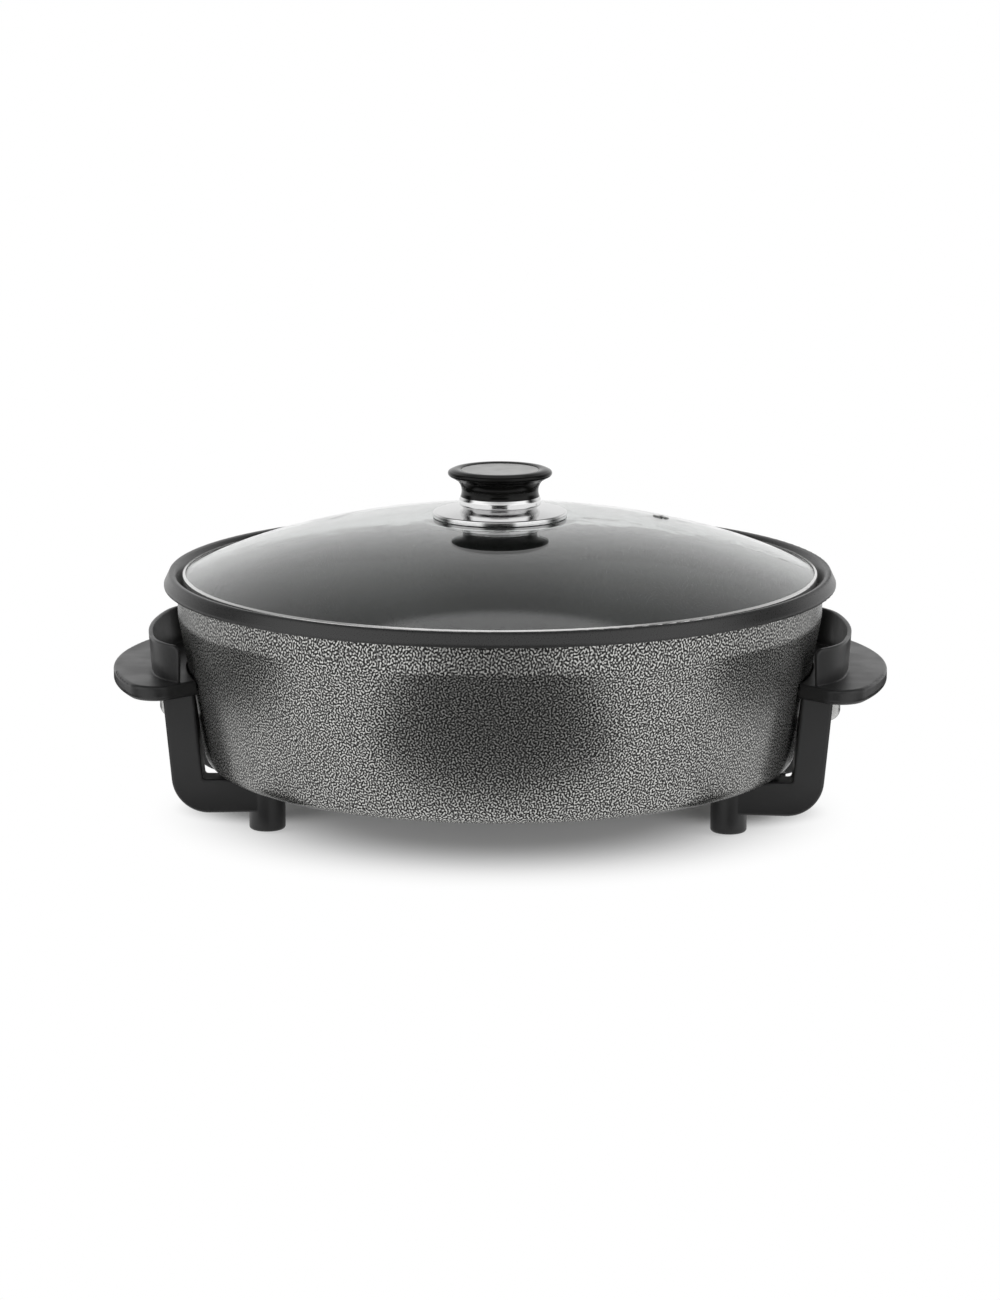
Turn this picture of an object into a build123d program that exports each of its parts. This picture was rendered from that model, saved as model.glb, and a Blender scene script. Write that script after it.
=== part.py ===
from build123d import *

import math
import os

# Round electric cooking pot: a deep cast pan on two leg-and-grip mouldings, with a lift-off glass lid.
# Millimetres, +Z up. The origin is on the table under the middle of the pan, and the grips point along X.

os.makedirs("parts", exist_ok=True)

# Fits shared by several pieces
screw_play = 0.1          # around a screw in its hole
seat_play = 0.2           # around a piece that sits in a recess
lid_seat_gap = 0.5        # height at which the lid hangs over its cone, 0.3 square to the cone

# Pan casting, outside
pan_height = 157.5        # rim crest above the table
base_height = 35.5        # underside of the pan above the table
rim_radius = 212.0        # widest line of the rim
rim_crest_inset = 3.5
rim_mouth_inset = 6.6
rim_mouth_drop = 0.6
rim_skirt_depth = 7.3     # crest down to the widest line
rim_edge = 1.8            # upright edge below the widest line
collar_inset = 8.5        # straight band under the rim, in from the widest line
collar_height = 18.0
wall_lean = 10.1          # degrees, between the collar and the base
base_round = 8.0
collar_round = 9.0
rim_round = 1.1

# Pan casting, inside
wall = 4.0
floor_thickness = 6.0
floor_round = 14.0
flare_depth = 9.6         # cone inside the rim that the lid stands in

# Cast lugs that carry the handles
lug_overhang = 3.5        # beyond the rim
lug_width = 30.0
lug_height = 25.0
lug_round = 8.0
lug_edge_round = 2.0

# Cast bosses for the feet
boss_radius = 7.5
boss_height = 10.0
boss_thread_depth = 8.0

# Heating element, pressed into a cast ring under the floor
element_radius = 4.0
element_inset = 81.6      # middle of the ring, in from the base edge
element_bend = 20.0
element_play = 0.15
element_drop = 3.5        # metal over the element
carrier_width = 18.0

# Inlet for the removable heat control
pin_spacing = 28.0
pin_radius = 3.0
pin_length = 22.0
pin_root = 5.0
pin_collar_radius = 4.4
pin_collar_length = 1.5
pin_tip_bevel = 1.2
pin_recess = 7.0          # pin tips behind the mouth of the shroud
inlet_drop = 13.0         # pin axis under the floor
shroud_inset = 5.6        # mouth behind the pan's base edge
shroud_half = 27.5
shroud_depth = 26.0
shroud_round = 5.0
shroud_sheet = 1.2
ear_width = 9.0
ear_length = 16.0
ear_setback = 5.0         # behind the mouth
block_depth = 14.0
lead_depth = 8.0          # element ends inside the terminal block
probe_bore_radius = 4.1
probe_wall = 1.2
probe_setback = 3.0       # behind the mouth of the shroud
probe_boss_width = 16.0
probe_boss_room = 3.0     # between the boss and the terminal block
probe_boss_cover = 3.0    # metal under the sleeve
probe_boss_wall = 4.8     # metal behind the sleeve

# Handle moulding: grip plate
handle_gap = 1.0          # between the moulding and the pan's wall
plate_bottom = 87.2
plate_thickness = 9.8
grip_overhang = 33.0      # grip beyond the rim
shoulder_overhang = 3.0   # corner of the plate before it is rounded
shoulder_half = 93.9
shoulder_round = 17.0
grip_root_inset = 34.0    # root of the plate's sides, in from the rim
grip_root_half = 56.3
plate_top_round = 2.0
plate_bottom_round = 3.2

# Handle moulding: upright guard
guard_height = 23.4
guard_thickness = 2.8
guard_overhang = 10.3     # top of the guard beyond the rim
guard_lean = 1.8          # how far the guard opens towards its top
guard_half = 74.0
guard_side_lean = 2.0
guard_mid_radius = 196.0
guard_mid_half = 44.0
guard_end_radius = 50.0
guard_corner_round = 5.0
guard_crest_round = 0.9

# Handle moulding: legs and foot posts
leg_spread = 56.0         # leg from the middle of the handle
leg_width = 20.0
leg_top_inset = 3.5       # outer line of the leg at the plate, in from the rim
leg_foot_inset = 10.7     # outer line of the leg, carried down to the arm's underside
leg_thickness = 19.6      # from the outer line to the inner one
leg_bury = 4.0            # into the plate
arm_gap = 1.4             # under the floor of the pan
arm_height = 21.9
arm_rise = 1.2            # underside, from the corner to the post
leg_corner_round = 23.0
leg_inner_round = 2.0
leg_edge_round = 1.5
post_inset = 67.6
post_radius = 11.4
post_round = 2.0
post_web = 10.0

# Fasteners and rubber
screw_radius = 2.5
screw_head_radius = 4.6
screw_head_height = 3.6
screw_head_room = 0.8
screw_head_bevel = 1.2
lug_counterbore = 8.0
insert_radius = 4.0
insert_depth = 7.0
inlet_screw_radius = 2.0
inlet_screw_head_radius = 3.4
inlet_screw_head_height = 2.4
inlet_screw_depth = 4.0
pad_radius = 7.0
pad_thickness = 3.7
pad_proud = 0.8
pad_bevel = 0.6

# Lid glass and its steel band
dome_top_radius = 1000.0  # flat middle of the dome
dome_top_half = 50.0
dome_side_radius = 434.0  # rounder stretch from there to the edge
glass_thickness = 4.0
glass_play = 0.2
lid_overlap = 0.8         # band over the bore of the pan, standing on the cone
band_sheet = 0.7
band_lip = 1.8
band_round = 0.5
vent_radius = 112.0       # from the middle of the lid
vent_angle = 24.3
eyelet_flange_radius = 5.4
eyelet_flange = 0.9
eyelet_radius = 3.4
eyelet_bore = 2.0
eyelet_bevel = 0.4

# Knob, with heights above the top of the dome
gasket_thickness = 1.0
gasket_radius = 20.0
gasket_hole_radius = 3.4
glass_hole_radius = 4.0
saucer_radius = 42.3
saucer_root = 4.8         # top of the saucer at the neck
saucer_top = 2.5          # top of the saucer at its rim
saucer_sheet = 1.0
saucer_rim_depth = 3.0
saucer_rim_wall = 1.2
saucer_round = 1.0
neck_foot_radius = 23.0
neck_radius = 25.8
neck_swell_bottom = 7.2
neck_swell_top = 10.4
neck_top = 12.2
neck_wall = 1.6
neck_round = 1.2
grip_waist_radius = 24.3
grip_waist_height = 14.8
grip_throat_radius = 27.2
grip_throat_height = 22.4
bead_under_radius = 31.8
bead_under_height = 25.1
bead_radius = 32.9
bead_height = 26.7
bead_top_radius = 31.5
bead_top_height = 28.6
crown_radius = 28.8
crown_height = 29.6
inlay_radius = 24.4
inlay_edge_height = 29.2
inlay_depth = 1.2
inlay_thickness = 0.9
knob_insert_radius = 4.5
knob_insert_length = 12.0
lower_gasket_radius = 12.0
washer_radius = 9.0
washer_thickness = 1.2
knob_screw_reach = 10.0   # into the insert

# Lines of the pan that other pieces follow
rim_crest_radius = rim_radius - rim_crest_inset
rim_mouth_radius = rim_radius - rim_mouth_inset
collar_radius = rim_radius - collar_inset
collar_top = pan_height - rim_skirt_depth - rim_edge
collar_bottom = collar_top - collar_height
lean_slope = math.tan(math.radians(wall_lean))
base_radius = collar_radius - (collar_bottom - base_height) * lean_slope
wall_across = wall / math.cos(math.radians(wall_lean))
bore_radius = collar_radius - wall_across
floor_height = base_height + floor_thickness
floor_radius = base_radius + floor_thickness * lean_slope - wall_across
flare_bottom = pan_height - flare_depth
mouth_height = pan_height - rim_mouth_drop
flare_slope = (mouth_height - flare_bottom) / (rim_mouth_radius - bore_radius)

# Lines of the handles, feet and inlet
grip_reach = rim_radius + grip_overhang
plate_top = plate_bottom + plate_thickness
guard_top = plate_top + guard_height
lug_reach = rim_radius + lug_overhang
lug_bottom = plate_bottom - lug_height
lug_screw_x = (lug_reach + base_radius + (plate_bottom - base_height) * lean_slope) / 2
arm_top = base_height - arm_gap
arm_bottom = arm_top - arm_height
leg_top = plate_bottom + leg_bury
leg_slope = (leg_foot_inset - leg_top_inset) / (leg_top - arm_bottom)
arm_corner_x = rim_radius - leg_foot_inset + leg_slope * arm_height - leg_thickness
post_x = rim_radius - post_inset
boss_bottom = base_height - boss_height
web_top = boss_bottom - seat_play
web_bottom = web_top - post_web
element_ring = base_radius - element_inset
element_height = base_height - element_drop - element_radius
carrier_bottom = element_height - element_radius
carrier_radius = element_ring + carrier_width / 2
mouth_x = base_radius - shroud_inset
pin_tip_x = mouth_x - pin_recess
block_front = pin_tip_x - pin_length
block_back = block_front - block_depth
inlet_height = base_height - inlet_drop
ear_x = mouth_x - ear_setback - ear_length / 2
ear_y = shroud_half + ear_width / 2
probe_radius = probe_bore_radius + probe_wall
probe_boss_front = block_back - probe_boss_room
probe_boss_back = carrier_radius + seat_play
probe_inner_x = probe_boss_back + probe_boss_wall
probe_outer_x = mouth_x - probe_setback

# Lines of the lid: its band stands on the cone inside the rim
band_radius = bore_radius + lid_overlap
lid_foot = flare_bottom + lid_overlap * flare_slope + lid_seat_gap
glass_radius = band_radius - band_sheet - glass_play
dome_turn = math.asin(dome_top_half / dome_top_radius)
dome_side_x = (dome_top_radius - dome_side_radius) * math.sin(dome_turn)
band_under = dome_side_radius - glass_thickness - glass_play - band_sheet
dome_side_z = lid_foot - math.sqrt(band_under**2 - (band_radius - dome_side_x) ** 2)
dome_top_z = dome_side_z - (dome_top_radius - dome_side_radius) * math.cos(dome_turn)
apex = dome_top_z + dome_top_radius


def dome_point(radius, offset=0.0):
    """Point of the dome's profile at this radius, offset outwards from the glass's outer face."""
    if radius < (dome_top_radius + offset) * math.sin(dome_turn):
        return (radius, dome_top_z + math.sqrt((dome_top_radius + offset) ** 2 - radius**2))
    return (radius, dome_side_z + math.sqrt((dome_side_radius + offset) ** 2 - (radius - dome_side_x) ** 2))


def upward(x, y, z):
    """Plane for a hole drilled upwards from below."""
    return Plane(origin=(x, y, z), x_dir=(1, 0, 0), z_dir=(0, 0, -1))


def pan_head_screw(radius, length, head_radius, head_height, head_bevel):
    """Screw along Z: its shank rises from z = 0 and its head hangs below."""
    with BuildPart() as screw:
        with BuildSketch(Plane.XY):
            Circle(head_radius)
        extrude(amount=-head_height)
        chamfer(screw.edges().sort_by(Axis.Z)[0], length=head_bevel)
        with BuildSketch(Plane.XY):
            Circle(radius)
        extrude(amount=length)
    return screw.part


# Route of the heating element: two leads from the terminal block, joined by a ring
bend_x = math.sqrt((element_ring + element_bend) ** 2 - (pin_spacing / 2 + element_bend) ** 2)
bend_angle = math.degrees(math.atan2(pin_spacing / 2 + element_bend, bend_x))
lead_end_x = block_back + lead_depth
with BuildLine(Plane.XY.offset(element_height)) as element_path:
    lead_in = Line((lead_end_x, pin_spacing / 2), (bend_x, pin_spacing / 2))
    ring = CenterArc((0, 0), element_ring, bend_angle, 360 - 2 * bend_angle)
    lead_out = Line((bend_x, -pin_spacing / 2), (lead_end_x, -pin_spacing / 2))
    TangentArc(lead_in @ 1, ring @ 0, tangent=lead_in % 1)
    TangentArc(ring @ 1, lead_out @ 0, tangent=ring % 1)
element_start = Plane(
    origin=(lead_end_x, pin_spacing / 2, element_height), x_dir=(0, 1, 0), z_dir=(-1, 0, 0)
)

# Lugs on both sides of the pan, which the grip plates rest on
with BuildPart() as pan_lugs:
    lug_root = base_radius - wall / 2
    with BuildSketch(Plane.XZ) as lug_section:
        with BuildLine():
            Polyline(
                (lug_root + (lug_bottom - base_height) * lean_slope, lug_bottom),
                (lug_reach, lug_bottom),
                (lug_reach, plate_bottom),
                (lug_root + (plate_bottom - base_height) * lean_slope, plate_bottom),
                close=True,
            )
        make_face()
        fillet(lug_section.vertices().sort_by_distance((lug_reach, lug_bottom))[0], radius=lug_round)
        mirror(about=Plane.YZ)
    extrude(amount=lug_width / 2, both=True)
    fillet(pan_lugs.edges().filter_by(Axis.Z), radius=lug_edge_round)

# Pan casting: one turned section, then lugs and bosses
with BuildPart() as pan_casting:
    base_corner = (base_radius, base_height)
    collar_foot = (collar_radius, collar_bottom)
    lip_low = (rim_radius, collar_top)
    lip_high = (rim_radius, collar_top + rim_edge)
    crest = (rim_crest_radius, pan_height)
    mouth = (rim_mouth_radius, mouth_height)
    bore_foot = (bore_radius, collar_bottom)
    floor_corner = (floor_radius, floor_height)
    with BuildSketch(Plane.XZ) as pan_section:
        with BuildLine():
            Polyline(
                (0, base_height),
                base_corner,
                collar_foot,
                (collar_radius, collar_top),
                lip_low,
                lip_high,
                crest,
                mouth,
                (bore_radius, flare_bottom),
                bore_foot,
                floor_corner,
                (0, floor_height),
                close=True,
            )
        make_face()
        for corner, radius in (
            (base_corner, base_round),
            (collar_foot, collar_round),
            (bore_foot, collar_round),
            (floor_corner, floor_round),
        ):
            fillet(pan_section.vertices().sort_by_distance(corner)[0], radius=radius)
        for corner in (lip_low, lip_high, crest, mouth):
            fillet(pan_section.vertices().sort_by_distance(corner)[0], radius=min(rim_round, rim_edge / 2.2))
    revolve(axis=Axis.Z)

    add(pan_lugs.part)
    with BuildSketch(Plane.XY.offset(base_height)):
        with GridLocations(2 * post_x, 2 * leg_spread, 2, 2):
            Circle(boss_radius)
    extrude(amount=-boss_height)
    with Locations(upward(0, 0, boss_bottom)):
        with GridLocations(2 * post_x, 2 * leg_spread, 2, 2):
            Hole(radius=screw_radius + screw_play, depth=boss_thread_depth)
    with Locations(upward(lug_screw_x, 0, lug_bottom), upward(-lug_screw_x, 0, lug_bottom)):
        CounterBoreHole(
            radius=screw_radius + screw_play,
            counter_bore_radius=screw_head_radius + screw_head_room,
            counter_bore_depth=lug_counterbore,
            depth=lug_height,
        )
    with Locations(upward(ear_x, ear_y, base_height), upward(ear_x, -ear_y, base_height)):
        Hole(radius=inlet_screw_radius + screw_play, depth=inlet_screw_depth)
pan_casting.part.label = "pan_casting"
export_step(pan_casting.part, "parts/pan_casting.step")

# Element carrier: a cast ring under the floor, grooved for the element
with BuildPart() as element_carrier:
    with BuildSketch(Plane.XY.offset(base_height)):
        Circle(carrier_radius)
        Circle(carrier_radius - carrier_width, mode=Mode.SUBTRACT)
    extrude(amount=carrier_bottom - base_height)
    with BuildSketch(element_start):
        Circle(element_radius + element_play)
        Rectangle(
            2 * (element_radius + element_play),
            2 * element_radius,
            align=(Align.CENTER, Align.MIN),
        )
    sweep(path=element_path.line, mode=Mode.SUBTRACT)
element_carrier.part.label = "element_carrier"
export_step(element_carrier.part, "parts/element_carrier.step")

# Probe boss: a cast block under the floor that the probe sleeve goes into
with BuildPart() as probe_boss:
    with BuildSketch(Plane.XY.offset(base_height)):
        with Locations((probe_boss_back, 0)):
            Rectangle(probe_boss_front - probe_boss_back, probe_boss_width, align=(Align.MIN, Align.CENTER))
    extrude(amount=-(inlet_drop + probe_radius + probe_boss_cover))
    with Locations(Plane(origin=(probe_boss_front, 0, inlet_height), z_dir=(1, 0, 0))):
        Hole(radius=probe_radius + screw_play, depth=probe_boss_front - probe_inner_x)
probe_boss.part.label = "probe_boss"
export_step(probe_boss.part, "parts/probe_boss.step")

# Heating element: a sheathed tube bent to that route
with BuildPart() as heating_element:
    with BuildSketch(element_start):
        Circle(element_radius)
    sweep(path=element_path.line)
heating_element.part.label = "heating_element"
export_step(heating_element.part, "parts/heating_element.step")

# Inlet shroud: a drawn steel sleeve with a strap that screws to the floor
with BuildPart() as inlet_shroud:
    shroud_middle = base_height - shroud_depth / 2
    with BuildSketch(Plane.YZ.offset(block_back)):
        with Locations((0, shroud_middle)):
            RectangleRounded(2 * shroud_half, shroud_depth, shroud_round)
            RectangleRounded(
                2 * (shroud_half - shroud_sheet),
                shroud_depth - 2 * shroud_sheet,
                shroud_round - shroud_sheet,
                mode=Mode.SUBTRACT,
            )
    extrude(amount=mouth_x - block_back)
    with BuildSketch(Plane.XY.offset(base_height)):
        with Locations((ear_x, 0)):
            Rectangle(ear_length, 2 * (shroud_half + ear_width))
    extrude(amount=-shroud_sheet)
    with Locations(upward(ear_x, ear_y, base_height), upward(ear_x, -ear_y, base_height)):
        Hole(radius=inlet_screw_radius + screw_play, depth=2 * shroud_sheet)
inlet_shroud.part.label = "inlet_shroud"
export_step(inlet_shroud.part, "parts/inlet_shroud.step")

# Terminal block: ceramic, filling the back of the shroud
with BuildPart() as terminal_block:
    with BuildSketch(Plane.YZ.offset(block_back)):
        with Locations((0, shroud_middle)):
            RectangleRounded(
                2 * (shroud_half - shroud_sheet - seat_play),
                shroud_depth - 2 * (shroud_sheet + seat_play),
                shroud_round - shroud_sheet - seat_play,
            )
    extrude(amount=block_depth)
    for side in (-1, 1):
        with Locations(Plane(origin=(block_back, side * pin_spacing / 2, element_height), z_dir=(-1, 0, 0))):
            Hole(radius=element_radius + element_play, depth=lead_depth)
        with Locations(Plane(origin=(block_front, side * pin_spacing / 2, inlet_height), z_dir=(1, 0, 0))):
            Hole(radius=pin_radius + screw_play, depth=pin_root)
    with Locations(Plane(origin=(block_front, 0, inlet_height), z_dir=(1, 0, 0))):
        Hole(radius=probe_radius + screw_play)
terminal_block.part.label = "terminal_block"
export_step(terminal_block.part, "parts/terminal_block.step")

# Power pins, with a collar against the block and a bevelled tip
for name, side in (("power_pin_front", -1), ("power_pin_rear", 1)):
    pin_plane = Plane(origin=(block_front, side * pin_spacing / 2, inlet_height), z_dir=(1, 0, 0))
    with BuildPart() as power_pin:
        with BuildSketch(pin_plane.offset(-pin_root)):
            Circle(pin_radius)
        extrude(amount=pin_root + pin_length)
        chamfer(power_pin.edges().sort_by(Axis.X)[-1], length=pin_tip_bevel)
        with BuildSketch(pin_plane):
            Circle(pin_collar_radius)
        extrude(amount=pin_collar_length)
    power_pin.part.label = name
    export_step(power_pin.part, f"parts/{name}.step")

# Probe sleeve: the tube that the control's feeler slides into
with BuildPart() as probe_sleeve:
    with BuildSketch(Plane(origin=(probe_inner_x, 0, inlet_height), z_dir=(1, 0, 0))):
        Circle(probe_radius)
        Circle(probe_bore_radius, mode=Mode.SUBTRACT)
    extrude(amount=probe_outer_x - probe_inner_x)
    chamfer(probe_sleeve.edges().group_by(Axis.X)[-1], length=probe_wall / 3)
probe_sleeve.part.label = "probe_sleeve"
export_step(probe_sleeve.part, "parts/probe_sleeve.step")

# Room that the handle mouldings leave for the pan
with BuildPart() as pan_room:
    with BuildSketch(Plane.XZ):
        with BuildLine():
            Polyline(
                (0, base_height),
                (base_radius + handle_gap, base_height),
                (collar_radius + handle_gap, collar_bottom),
                (collar_radius + handle_gap, pan_height),
                (0, pan_height),
                close=True,
            )
        make_face()
    revolve(axis=Axis.Z)

# Grip plate: a D-shaped shelf, softly rounded all round
with BuildPart() as grip_plate:
    shoulder = (rim_radius + shoulder_overhang, shoulder_half)
    root = (rim_radius - grip_root_inset, grip_root_half)
    with BuildSketch(Plane.XY.offset(plate_bottom)) as plate_plan:
        with BuildLine():
            nose = ThreePointArc((shoulder[0], -shoulder[1]), (grip_reach, 0), shoulder)
            Polyline(nose @ 1, root, (root[0], -root[1]), nose @ 0)
        make_face()
        fillet(plate_plan.vertices().group_by(Axis.X)[-1], radius=shoulder_round)
    extrude(amount=plate_thickness)
    fillet(grip_plate.faces().sort_by(Axis.Z)[-1].edges(), radius=plate_top_round)
    fillet(grip_plate.faces().sort_by(Axis.Z)[0].edges(), radius=plate_bottom_round)

# Upright guard: a thin wall along three tangent arcs, opening a little towards its top
guard_mid_angle = math.degrees(math.asin(guard_mid_half / guard_mid_radius))
with BuildPart() as grip_guard:
    for height, reach, half in (
        (plate_top - plate_top_round, rim_radius + guard_overhang - guard_lean, guard_half - guard_side_lean),
        (guard_top, rim_radius + guard_overhang, guard_half),
    ):
        middle_x = reach - guard_mid_radius
        end_step = guard_mid_radius - guard_end_radius
        end_x = middle_x + end_step * math.cos(math.radians(guard_mid_angle))
        end_y = end_step * math.sin(math.radians(guard_mid_angle))
        end_turn = math.degrees(math.asin((half - end_y) / guard_end_radius)) - guard_mid_angle
        with BuildSketch(Plane.XY.offset(height)):
            with BuildLine():
                tips = []
                for inset in (0, guard_thickness):
                    end_size = guard_end_radius - inset
                    CenterArc((middle_x, 0), guard_mid_radius - inset, -guard_mid_angle, 2 * guard_mid_angle)
                    rear = CenterArc((end_x, end_y), end_size, guard_mid_angle, end_turn)
                    front = CenterArc((end_x, -end_y), end_size, -guard_mid_angle, -end_turn)
                    tips.append((rear @ 1, front @ 1))
                Line(tips[0][0], tips[1][0])
                Line(tips[0][1], tips[1][1])
            make_face()
    loft(ruled=True)
    crest_ends = grip_guard.edges().group_by(Axis.Z)[-1].sort_by(SortBy.LENGTH)[:2]
    fillet(crest_ends, radius=guard_corner_round)
    fillet(grip_guard.faces().sort_by(Axis.Z)[-1].edges(), radius=guard_crest_round)

# Legs: two L-shaped bars that end in round foot posts under the pan
with BuildPart() as grip_legs:
    leg_corner = (rim_radius - leg_foot_inset, arm_bottom)
    arm_corner = (arm_corner_x, arm_top)
    leg_head_x = rim_radius - leg_top_inset
    with BuildSketch(Plane.XZ.offset(leg_spread), Plane.XZ.offset(-leg_spread)) as leg_outline:
        with BuildLine():
            Polyline(
                (post_x, arm_top),
                arm_corner,
                (leg_head_x - leg_thickness, leg_top),
                (leg_head_x, leg_top),
                leg_corner,
                (post_x, arm_bottom + arm_rise),
                close=True,
            )
        make_face()
        fillet(leg_outline.vertices().sort_by_distance(leg_corner)[0], radius=leg_corner_round)
        fillet(leg_outline.vertices().sort_by_distance(arm_corner)[0], radius=leg_inner_round)
    extrude(amount=leg_width / 2, both=True)
    fillet(grip_legs.faces().filter_by(Axis.Y).edges(), radius=leg_edge_round)
    with BuildSketch(Plane.XY.offset(pad_proud)):
        with Locations((post_x, leg_spread), (post_x, -leg_spread)):
            Circle(post_radius)
    extrude(amount=base_height - pad_proud)
    fillet(grip_legs.edges().group_by(Axis.Z)[0], radius=post_round)

# Right handle: plate, guard and legs in one moulding, bored for its screws
with BuildPart() as handle_right:
    add(grip_plate.part)
    add(grip_guard.part)
    add(grip_legs.part)
    add(pan_room.part, mode=Mode.SUBTRACT)
    for side in (-1, 1):
        with Locations(upward(post_x, side * leg_spread, pad_proud)):
            CounterBoreHole(
                radius=screw_radius + screw_play,
                counter_bore_radius=screw_head_radius + screw_head_room,
                counter_bore_depth=web_bottom - pad_proud,
                depth=base_height - pad_proud,
            )
            Hole(radius=pad_radius + seat_play, depth=pad_thickness - pad_proud + screw_play)
        with Locations((post_x, side * leg_spread, base_height)):
            Hole(radius=boss_radius + seat_play, depth=base_height - web_top)
    with Locations(upward(lug_screw_x, 0, plate_bottom)):
        Hole(radius=insert_radius + screw_play, depth=insert_depth + seat_play)
handle_right.part.label = "handle_right"
export_step(handle_right.part, "parts/handle_right.step")

# Left handle: the same moulding, turned half round
with BuildPart() as handle_left:
    add(handle_right.part, rotation=(0, 0, 180))
handle_left.part.label = "handle_left"
export_step(handle_left.part, "parts/handle_left.step")

# Threaded brass inserts in the grips
for name, side in (("handle_insert_left", -1), ("handle_insert_right", 1)):
    with BuildPart() as handle_insert:
        with BuildSketch(Plane.XY.offset(plate_bottom)):
            with Locations((side * lug_screw_x, 0)):
                Circle(insert_radius)
                Circle(screw_radius + screw_play, mode=Mode.SUBTRACT)
        extrude(amount=insert_depth)
    handle_insert.part.label = name
    export_step(handle_insert.part, f"parts/{name}.step")

# Handle screws: up through the lugs into the inserts
with BuildPart() as handle_screws:
    lug_seat = lug_bottom + lug_counterbore
    with Locations((lug_screw_x, 0, lug_seat), (-lug_screw_x, 0, lug_seat)):
        add(
            pan_head_screw(
                screw_radius,
                plate_bottom + insert_depth - screw_head_room - lug_seat,
                screw_head_radius,
                screw_head_height,
                screw_head_bevel,
            )
        )
handle_screws.part.label = "handle_screws"
export_step(handle_screws.part, "parts/handle_screws.step")

# Foot screws: up through the posts into the pan's bosses
with BuildPart() as foot_screws:
    with Locations((0, 0, web_bottom)):
        with GridLocations(2 * post_x, 2 * leg_spread, 2, 2):
            add(
                pan_head_screw(
                    screw_radius,
                    boss_bottom + boss_thread_depth - screw_head_room - web_bottom,
                    screw_head_radius,
                    screw_head_height,
                    screw_head_bevel,
                )
            )
foot_screws.part.label = "foot_screws"
export_step(foot_screws.part, "parts/foot_screws.step")

# Inlet screws: up through the strap into the floor
with BuildPart() as inlet_screws:
    strap_under = base_height - shroud_sheet
    with Locations((ear_x, ear_y, strap_under), (ear_x, -ear_y, strap_under)):
        add(
            pan_head_screw(
                inlet_screw_radius,
                shroud_sheet + inlet_screw_depth - screw_head_room,
                inlet_screw_head_radius,
                inlet_screw_head_height,
                screw_head_bevel,
            )
        )
inlet_screws.part.label = "inlet_screws"
export_step(inlet_screws.part, "parts/inlet_screws.step")

# Rubber pads pressed into the posts, which the pot stands on
for end, x_side in (("left", -1), ("right", 1)):
    for row, y_side in (("front", -1), ("rear", 1)):
        with BuildPart() as foot_pad:
            with BuildSketch(Plane.XY):
                with Locations((x_side * post_x, y_side * leg_spread)):
                    Circle(pad_radius)
            extrude(amount=pad_thickness)
            chamfer(foot_pad.edges().group_by(Axis.Z)[0], length=pad_bevel)
        foot_pad.part.label = f"foot_pad_{row}_{end}"
        export_step(foot_pad.part, f"parts/foot_pad_{row}_{end}.step")

# Vent axis: square to the dome
vent_x, vent_z = dome_point(vent_radius)
vent_run, vent_rise = vent_x - dome_side_x, vent_z - dome_side_z
vent_cos, vent_sin = math.cos(math.radians(vent_angle)), math.sin(math.radians(vent_angle))
vent_plane = Plane(
    origin=(vent_x * vent_cos, vent_x * vent_sin, vent_z),
    z_dir=(vent_run * vent_cos, vent_run * vent_sin, vent_rise),
)

# Lid glass: a dome of two tangent arcs, drilled for the knob and the vent
with BuildPart() as lid_glass:
    turn_at = 90 - math.degrees(dome_turn)
    with BuildSketch(Plane.XZ):
        with BuildLine():
            ends = []
            for depth in (0, glass_thickness):
                side_size = dome_side_radius - depth
                top_size = dome_top_radius - depth
                low = math.degrees(math.acos((glass_radius - dome_side_x) / side_size))
                high = math.degrees(math.acos(glass_hole_radius / top_size))
                side_arc = CenterArc((dome_side_x, dome_side_z), side_size, low, turn_at - low)
                top_arc = CenterArc((0, dome_top_z), top_size, turn_at, high - turn_at)
                ends.append((side_arc @ 0, top_arc @ 1))
            Line(ends[0][0], ends[1][0])
            Line(ends[0][1], ends[1][1])
        make_face()
    revolve(axis=Axis.Z)
    with Locations(vent_plane):
        Hole(radius=eyelet_radius + screw_play, depth=2 * glass_thickness)
lid_glass.part.label = "lid_glass"
export_step(lid_glass.part, "parts/lid_glass.step")

# Lid band: a steel channel rolled over the edge of the glass
with BuildPart() as lid_band:
    lip_radius = band_radius - band_lip
    groove_radius = band_radius - band_sheet
    glass_under = -glass_thickness - glass_play
    with BuildSketch(Plane.XZ) as band_section:
        with BuildLine():
            Polyline(
                dome_point(band_radius, glass_under - band_sheet),
                dome_point(band_radius, glass_play + band_sheet),
                dome_point(lip_radius, glass_play + band_sheet),
                dome_point(lip_radius, glass_play),
                dome_point(groove_radius, glass_play),
                dome_point(groove_radius, glass_under),
                dome_point(lip_radius, glass_under),
                dome_point(lip_radius, glass_under - band_sheet),
                close=True,
            )
        make_face()
        fillet(band_section.vertices().group_by(Axis.X)[-1], radius=band_round)
    revolve(axis=Axis.Z)
lid_band.part.label = "lid_band"
export_step(lid_band.part, "parts/lid_band.step")

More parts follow.
